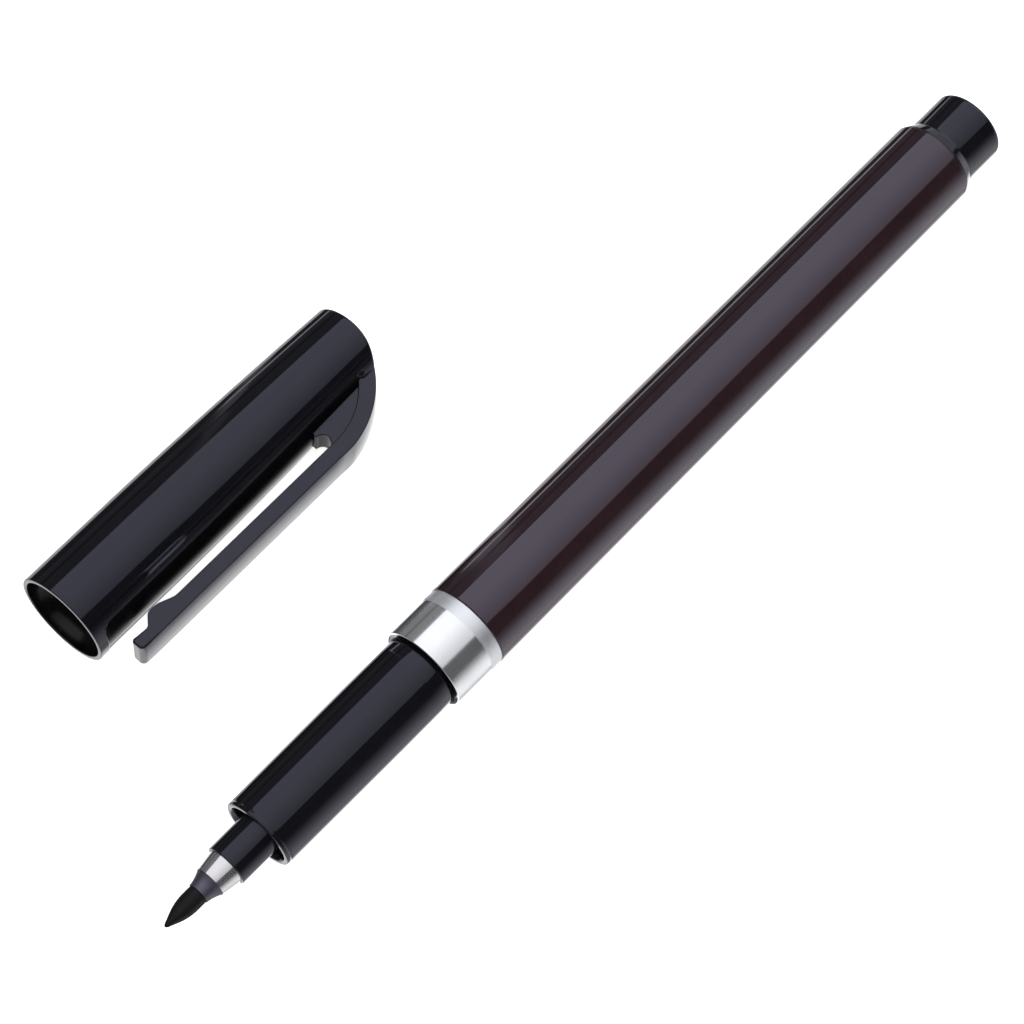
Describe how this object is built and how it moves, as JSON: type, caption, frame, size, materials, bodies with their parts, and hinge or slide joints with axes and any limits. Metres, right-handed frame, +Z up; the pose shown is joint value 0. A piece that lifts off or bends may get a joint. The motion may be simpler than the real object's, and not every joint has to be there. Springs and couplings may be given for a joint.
{
  "type": "brush-tip calligraphy marker",
  "caption": "Calligraphy marker with a pointed felt brush tip, metal trim ring, dark barrel and stepped tail, its clip cap off and lying beside it.",
  "frame": {"origin": "on the table, under the middle of the box round the pen and the cap beside it", "axes": "+X along the pen from the brush tip to the tail, +Y from the pen towards the cap, +Z up"},
  "size_m": [0.1296, 0.0506, 0.0123],
  "materials": {
    "black_plastic": "polished black moulded plastic",
    "barrel_plastic": "polished dark brown moulded plastic",
    "ring_metal": "bright plated ring with a soft polish",
    "ferrule_metal": "bright drawn metal",
    "brush_fibre": "ink-soaked bonded fibre, matt",
    "ink_fibre": "ink-soaked bundled fibre",
    "clear_film": "thin clear film",
    "liner_plastic": "satin black moulded plastic"
  },
  "bodies": {
    "pen": {"barrel": "barrel_plastic", "trim_ring": "ring_metal", "grip_section": "black_plastic", "nib_sleeve": "black_plastic", "nib_ferrule": "ferrule_metal", "tail_plug": "black_plastic", "feed_wick": "ink_fibre", "ink_reservoir": "ink_fibre", "reservoir_film": "clear_film"},
    "nib": {"brush_nib": "brush_fibre"},
    "cap": {"cap_shell": "black_plastic", "inner_cap": "liner_plastic"},
    "clip": {"pocket_clip": "black_plastic"}
  },
  "joints": [
    {"name": "cap_slide", "type": "slide", "parent": "pen", "child": "cap", "axis": [0.9998, 0.0175, 0], "range_m": [0, 0.041]},
    {"name": "clip_flex", "type": "hinge", "parent": "cap", "child": "clip", "pos_m": [-0.00788, 0.01159, 0.00249], "axis": [0.018, -0.3824, 0.9238], "range_deg": [0, 4.5], "stiffness_Nm_per_rad": 2.5},
    {"name": "nib_flex", "type": "hinge", "parent": "pen", "child": "nib", "pos_m": [-0.05987, -0.02009, 0.00522], "axis": [0, 1, 0], "range_deg": [-15, 15], "stiffness_Nm_per_rad": 0.002}
  ]
}
